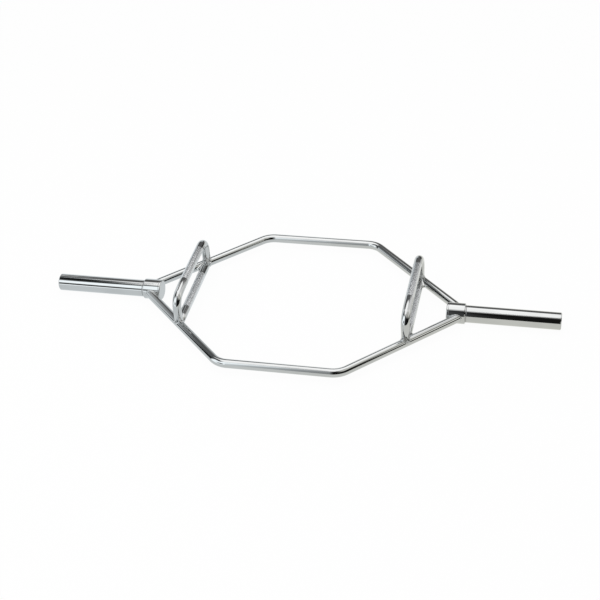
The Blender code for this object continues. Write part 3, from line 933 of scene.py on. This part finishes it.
class BAR_OT_welds(Operator):
    """Make the rippled weld beads round every joint of the frame, and the filled sharp corners"""

    bl_idname = "bar.welds"
    bl_label = "Welds"
    bl_options = {"REGISTER", "UNDO"}

    points: IntProperty(name="Points", description="Points along a bead", default=260, min=24)
    slices: IntProperty(name="Slices", description="Slices of a filled corner", default=72, min=12)

    def corner_rings(self, context, layout, side, end):
        """Level slices of the weld that fills the sharp corner between a grip and the arm."""
        sizes = context.scene.bar_weld_sizes
        along_arm = Vector((math.cos(layout.angle), -math.sin(layout.angle)))
        along_grip = Vector((0.0, -1.0))
        outward = (along_arm + along_grip).normalized()
        across = (along_arm - along_grip).normalized()
        ripples = round(2 * layout.rail_radius / sizes.ripple_pitch)
        rings = []
        for i in range(self.slices + 1):
            turn = FILL_TURN * (2 * i / self.slices - 1)
            height = layout.rail_radius * math.sin(turn)
            x = layout.grip_x + layout.grip_radius * math.cos(turn)
            seam = Vector((x, layout.arm_edge(x, height)))
            wave = abs(math.sin(math.pi * ripples * i / self.slices))
            leg = (sizes.corner_fill * math.cos(turn) ** 2
                   - FILL_SUNK * (1.0 - wave) * math.cos(turn))
            near = seam + along_grip * leg - across * FILL_SUNK
            far = seam + along_arm * leg + across * FILL_SUNK
            ring = [seam - outward * WELDED_IN]
            for j in range(FILL_STEPS + 1):
                share = j / FILL_STEPS
                hollow = FILL_HOLLOW * leg * math.sin(math.pi * share)
                ring.append(near.lerp(far, share) - outward * hollow)
            rings.append([on_quarter(side, end, place.x, place.y, height) for place in ring])
        return rings

    def bead(self, context, name, path, material, rings=()):
        """Closed bead of weld along a path of points, with the slices of a filled corner."""
        sizes = context.scene.bar_weld_sizes
        line = bpy.data.curves.new(name, "CURVE")
        line.dimensions = "3D"
        line.bevel_depth = sizes.bead_radius
        line.bevel_resolution = 4
        spline = line.splines.new("POLY")
        spline.points.add(len(path) - 1)
        spline.use_cyclic_u = True
        length = sum((path[i] - path[i - 1]).length for i in range(len(path)))
        ripples = round(length / sizes.ripple_pitch)
        along = 0.0
        for i, place in enumerate(path):
            along += (place - path[i - 1]).length if i else 0.0
            wave = abs(math.sin(math.pi * ripples * along / length))
            spline.points[i].co = (*place, 1.0)
            spline.points[i].radius = 1.0 - sizes.ripple_share * (1.0 - wave)
        drawn = bpy.data.objects.new(name + "_line", line)
        solid = bmesh.new()
        solid.from_mesh(drawn.to_mesh())
        drawn.to_mesh_clear()
        bpy.data.objects.remove(drawn)
        bmesh.ops.remove_doubles(solid, verts=solid.verts, dist=SAME_PLACE)
        slices = [[solid.verts.new(place) for place in ring] for ring in rings]
        for one, other in zip(slices, slices[1:]):
            for j in range(len(one)):
                solid.faces.new((one[j - 1], one[j], other[j], other[j - 1]))
        for ring in slices[:1] + slices[-1:]:
            solid.faces.new(ring)
        bmesh.ops.recalc_face_normals(solid, faces=solid.faces)
        finished_piece(name, solid, [material], "frame", None, WELD_SMOOTH_ANGLE)

    def execute(self, context):
        layout = Layout(context)
        foot_trim = context.scene.bar_grip_sizes.foot_trim
        material = weld_chrome("weld_chrome", context.scene.bar_finishes)
        for side_name, side in SIDES.items():
            for end_name, end in ENDS.items():
                arm_path, grip_path, foot_path = [], [], []
                for i in range(self.points):
                    turn = math.tau * i / self.points
                    height = layout.rail_radius * math.sin(turn)
                    out = layout.rail_radius * math.cos(turn)
                    reach = math.sqrt(collar_radius ** 2 - height ** 2)
                    back = (reach - out / math.cos(layout.angle)) / math.tan(layout.angle)
                    arm_path.append(on_quarter(side, end, layout.arm_end - back, reach, height))
                    x = layout.grip_x + layout.grip_radius * math.cos(turn)
                    height = layout.grip_radius * math.sin(turn)
                    grip_path.append(on_quarter(side, end, x, layout.arm_edge(x, height), height))
                    y = layout.foot_y + layout.grip_radius * math.sin(turn)
                    seat = layout.seat_height(x, y, foot_trim)
                    foot_path.append(on_quarter(side, end, x, y, seat))
                place = f"{side_name}_{end_name}"
                self.bead(context, f"{place}_arm_weld", arm_path, material)
                self.bead(context, f"{place}_grip_weld", grip_path, material,
                          self.corner_rings(context, layout, side, end))
                self.bead(context, f"{place}_foot_weld", foot_path, material)
        return {"FINISHED"}


class BAR_OT_inner_parts(Operator):
    """Give the spindles, bushes, end washers and retaining rings their metals"""

    bl_idname = "bar.inner_parts"
    bl_label = "Inner Parts"
    bl_options = {"REGISTER", "UNDO"}

    def execute(self, context):
        finishes = context.scene.bar_finishes
        ground = turned_steel("ground_steel", finishes.steel_colour, roughness=0.26,
                              line_scale=700.0)
        bronze = sintered_bronze("oiled_bronze", finishes.bronze_colour)
        spring = black_oxide("spring_black", finishes.spring_colour)
        metals = {"spindle": ground, "end_washer": ground, "inner_bush": bronze,
                  "outer_bush": bronze, "retaining_ring": spring}
        for side_name in SIDES:
            for part_name, metal in metals.items():
                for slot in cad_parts[f"{side_name}_{part_name}"].material_slots:
                    slot.material = metal
        return {"FINISHED"}


COOL = (0.945, 1.0, 1.03)
WARM = (1.0, 1.0, 0.94)
PLAIN = (1.0, 1.0, 1.0)

# Panels that the metal mirrors, nearest first: limits of azimuth and of elevation, softness of the
# left, right, lower and upper edge, all in degrees, then brightness and colour
PANELS = {
    "top_scrim": ((-43.0, 36.5), (59.5, 75.5), (15.5, 31.0, 4.5, 6.0), 0.77, PLAIN),
    "right_grip_flag": ((137.5, 172.5), (-10.5, 42.0), (12.5, 23.0, 11.0, 22.5), 0.010, PLAIN),
    "left_grip_flag": ((-169.0, -129.5), (11.0, 32.0), (8.0, 4.0, 9.5, 5.0), 0.10, PLAIN),
    "right_low_softbox": ((69.0, 132.5), (16.0, 37.5), (8.0, 13.5, 7.5, 12.0), 1.50, WARM),
    "rear_left_low_softbox": ((-181.5, -89.5), (-11.5, 29.5), (15.0, 3.5, 20.0, 9.5), 0.98, COOL),
    "right_wall": ((19.0, 117.5), (33.5, 77.5), (38.0, 16.5, 21.5, 28.5), 1.11, WARM),
    "low_flag": ((-61.0, -20.5), (5.0, 27.5), (26.0, 9.0, 3.0, 8.0), 0.07, PLAIN),
    "rear_flag": ((141.0, 222.5), (-10.0, 48.0), (22.0, 5.5, 19.0, 4.5), 0.155, PLAIN),
    "rear_left_flag": ((-161.5, -71.5), (25.5, 57.0), (17.0, 18.5, 18.0, 10.0), 0.125, COOL),
    "left_flag": ((-112.0, -70.5), (-7.5, 65.0), (16.0, 13.5, 8.5, 8.0), 0.010, COOL),
    "left_high_flag": ((-121.0, -45.5), (39.0, 65.5), (13.5, 8.5, 13.5, 8.5), 0.030, COOL),
    "front_flag": ((-30.0, 111.5), (-11.0, 77.5), (39.5, 12.5, 6.0, 14.0), 0.012, PLAIN),
    "key_softbox": ((-86.0, -12.5), (-8.5, 57.5), (8.0, 8.5, 11.5, 3.5), 1.68, COOL),
    "rear_softbox": ((145.0, 246.0), (21.0, 77.0), (21.0, 12.0, 9.5, 11.0), 1.66, PLAIN),
    "left_wall": ((-150.0, 25.0), (-5.0, 66.0), (30.0, 45.0, 2.0, 10.0), 1.00, COOL),
    "overhead_softbox": ((-180.0, 180.0), (54.5, 89.9), (0.1, 0.1, 11.0, 0.1), 1.55, PLAIN),
}
NEAREST_PANEL = 3.2
PANEL_STEP = 0.02

# Lamps that light the bar but aren't mirrored in it: azimuth, elevation, width and height
LAMPS = {"key_lamp": (-45.0, 42.0, 3.4, 2.0), "overhead_lamp": (20.0, 86.0, 4.0, 4.0)}
LAMP_DISTANCE = 4.2
ROOM_STRENGTH = 0.55
SENSOR_WIDTH = 36.0

# The floor: its half width, its place below the bar, what the metal mirrors of it on the left and
# on the right, and how far from the middle the one has given way to the other
FLOOR_REACH = 30.0
FLOOR_DROP = 0.0002
LEFT_FLOOR, RIGHT_FLOOR = shade(COOL, 0.92), shade(WARM, 0.90)
FLOOR_CHANGE = 0.7


def paper(name, colour, glow):
    """Matt paper, nearly even white to the camera, that keeps shadows and tints the metal."""
    surface = Surface(name)
    place = surface.object_place()
    fibres = surface.noise(place, scale=400.0, detail=3.0)
    matt = surface.node("ShaderNodeBsdfPrincipled", None, {
        "Base Color": surface.shades(fibres, colour, 0.985, 1.0), "Roughness": 0.9,
        "Specular IOR Level": 0.2})
    seen, camera = surface.seen()
    side = surface.band(surface.parts(place)[0], -FLOOR_CHANGE, FLOOR_CHANGE)
    mirrored = surface.node("ShaderNodeEmission", None, {
        "Color": surface.tint(side, LEFT_FLOOR, RIGHT_FLOOR), "Strength": 1.0})
    even = surface.mix(camera, mirrored, surface.light("Emission", PLAIN, 1.0))
    return surface.finish(surface.mix(seen * glow, matt, even))


def panel_face(name, brightness, colour, soft):
    """Face of a studio panel, dark cloth or lit diffuser, thinning out towards its edges."""
    surface = Surface(name)
    place = surface.node("ShaderNodeUVMap", {"uv_map": "panel_place"})
    across, up, _ = surface.parts(place)
    left, right, lower, upper = soft
    cover = (surface.band(across, 0.0, left) * surface.band(1.0 - across, 0.0, right)
             * surface.band(up, 0.0, lower) * surface.band(1.0 - up, 0.0, upper))
    clear = surface.node("ShaderNodeBsdfTransparent")
    return surface.finish(surface.mix(cover, clear, surface.light("Emission", colour, brightness)))


def direction(azimuth, elevation):
    """Direction from the bar for an angle round it and one above the floor, in radians."""
    return Vector((math.sin(azimuth) * math.cos(elevation),
                   -math.cos(azimuth) * math.cos(elevation), math.sin(elevation)))


def panel_solid(azimuths, elevations, distance):
    """Curved sheet at a distance round the bar, between two azimuths and two elevations."""
    solid = bmesh.new()
    bmesh.ops.create_grid(solid, x_segments=48, y_segments=16, size=0.5)
    layer = solid.loops.layers.uv.new("panel_place")
    for face in solid.faces:
        for loop in face.loops:
            loop[layer].uv = (loop.vert.co.x + 0.5, loop.vert.co.y + 0.5)
    for corner in solid.verts:
        turn = math.radians(azimuths[0] + (azimuths[1] - azimuths[0]) * (corner.co.x + 0.5))
        rise = math.radians(elevations[0] + (elevations[1] - elevations[0]) * (corner.co.y + 0.5))
        corner.co = direction(turn, rise) * distance + axis_point
    return solid


class BAR_OT_studio(Operator):
    """Set up the floor, the panels, the lamps, the background and the camera"""

    bl_idname = "bar.studio"
    bl_label = "Studio"
    bl_options = {"REGISTER", "UNDO"}

    def stage_piece(self, name, solid, material):
        """Piece of the studio, which isn't part of the bar."""
        item = made_object(name, solid, [material], math.pi)
        return item

    def lamp(self, context, name, place, strength):
        """Rectangular lamp that faces the bar, and that neither the camera nor the metal sees."""
        light = bpy.data.lights.new(name, "AREA")
        light.shape = "RECTANGLE"
        azimuth, elevation, light.size, light.size_y = place
        light.energy = strength * math.pi * place[2] * place[3]
        item = bpy.data.objects.new(name, light)
        back = direction(math.radians(azimuth), math.radians(elevation))
        item.location = axis_point + back * LAMP_DISTANCE
        item.rotation_euler = (-back).to_track_quat("-Z", "Y").to_euler()
        item.visible_camera = item.visible_glossy = False
        context.scene.collection.objects.link(item)

    def background(self, context):
        """World that is plain white where it is seen, and a softer light on the bar."""
        context.scene.world = bpy.data.worlds.new("studio")
        surface = Surface("studio", context.scene.world)
        room, white = (surface.light("Background", PLAIN, strength)
                       for strength in (ROOM_STRENGTH, 1.0))
        surface.finish(surface.mix(surface.seen()[0], room, white), "World")

    def camera(self, context, settings):
        """Camera at the photograph's place."""
        back = direction(settings.azimuth, settings.elevation)
        right = (-back).cross(Vector((0, 0, 1))).normalized()
        up = right.cross(-back)
        cosine, sine = math.cos(settings.roll), math.sin(settings.roll)
        axes = Matrix((right * cosine + up * sine, up * cosine - right * sine, back)).transposed()
        data = bpy.data.cameras.new("camera")
        data.sensor_width = SENSOR_WIDTH
        data.lens = settings.lens
        item = bpy.data.objects.new("camera", data)
        item.matrix_world = (Matrix.Translation(Vector(settings.target) + back * settings.distance)
                             @ axes.to_4x4())
        context.scene.collection.objects.link(item)
        context.scene.camera = item

    def execute(self, context):
        settings = context.scene.bar_studio
        floor = bmesh.new()
        bmesh.ops.create_grid(floor, x_segments=4, y_segments=4, size=FLOOR_REACH)
        bmesh.ops.translate(floor, vec=(0, 0, cad_box[0].z - FLOOR_DROP), verts=floor.verts)
        self.stage_piece("floor", floor,
                         paper("floor_paper", settings.floor_colour, settings.floor_glow))
        for i, (name, row) in enumerate(PANELS.items()):
            azimuths, elevations, soft, brightness, colour = row
            width, height = azimuths[1] - azimuths[0], elevations[1] - elevations[0]
            shares = (soft[0] / width, soft[1] / width, soft[2] / height, soft[3] / height)
            panel = self.stage_piece(
                name, panel_solid(azimuths, elevations, NEAREST_PANEL + PANEL_STEP * i),
                panel_face(name + "_face", brightness, colour, shares))
            panel.visible_camera = panel.visible_diffuse = panel.visible_shadow = False
        for name, place in LAMPS.items():
            self.lamp(context, name, place, settings.lamp_strength)
        self.background(context)
        self.camera(context, settings)
        context.scene.view_settings.view_transform = "Standard"
        return {"FINISHED"}


# Each group of settings, with the operators that are listed under it
STEPS = {
    "bar_rail_sizes": (BarRailSizes, BAR_OT_rails),
    "bar_grip_sizes": (BarGripSizes, BAR_OT_level_grips, BAR_OT_raised_handles),
    "bar_sleeve_sizes": (BarSleeveSizes, BAR_OT_collars, BAR_OT_sleeves),
    "bar_weld_sizes": (BarWeldSizes, BAR_OT_welds),
    "bar_finishes": (BarFinishes, BAR_OT_inner_parts),
    "bar_studio": (BarStudioSettings, BAR_OT_studio),
}


class BAR_PT_builder(Panel):
    """Panel that builds the bar, piece by piece."""

    bl_idname = "BAR_PT_builder"
    bl_label = "Deadlift Bar"
    bl_space_type = "VIEW_3D"
    bl_region_type = "UI"
    bl_category = "Deadlift Bar"

    def draw(self, context):
        for step, (_, *operators) in STEPS.items():
            box = self.layout.box()
            settings = getattr(context.scene, step)
            for name in settings.__annotations__:
                box.prop(settings, name)
            for operator in operators:
                box.operator(operator.bl_idname)


def register():
    """Register the settings, the operators and the panel."""
    for step, (group, *operators) in STEPS.items():
        bpy.utils.register_class(group)
        setattr(bpy.types.Scene, step, PointerProperty(type=group))
        for operator in operators:
            bpy.utils.register_class(operator)
    bpy.utils.register_class(BAR_PT_builder)


def unregister():
    """Take back what register added."""
    bpy.utils.unregister_class(BAR_PT_builder)
    for step, (group, *operators) in reversed(STEPS.items()):
        for operator in reversed(operators):
            bpy.utils.unregister_class(operator)
        delattr(bpy.types.Scene, step)
        bpy.utils.unregister_class(group)


def main():
    """Build the whole bar in its studio."""
    register()
    bpy.ops.bar.rails()
    bpy.ops.bar.level_grips()
    bpy.ops.bar.raised_handles()
    bpy.ops.bar.collars()
    bpy.ops.bar.sleeves()
    bpy.ops.bar.welds()
    bpy.ops.bar.inner_parts()
    bpy.ops.bar.studio()


if __name__ == "__main__":
    main()
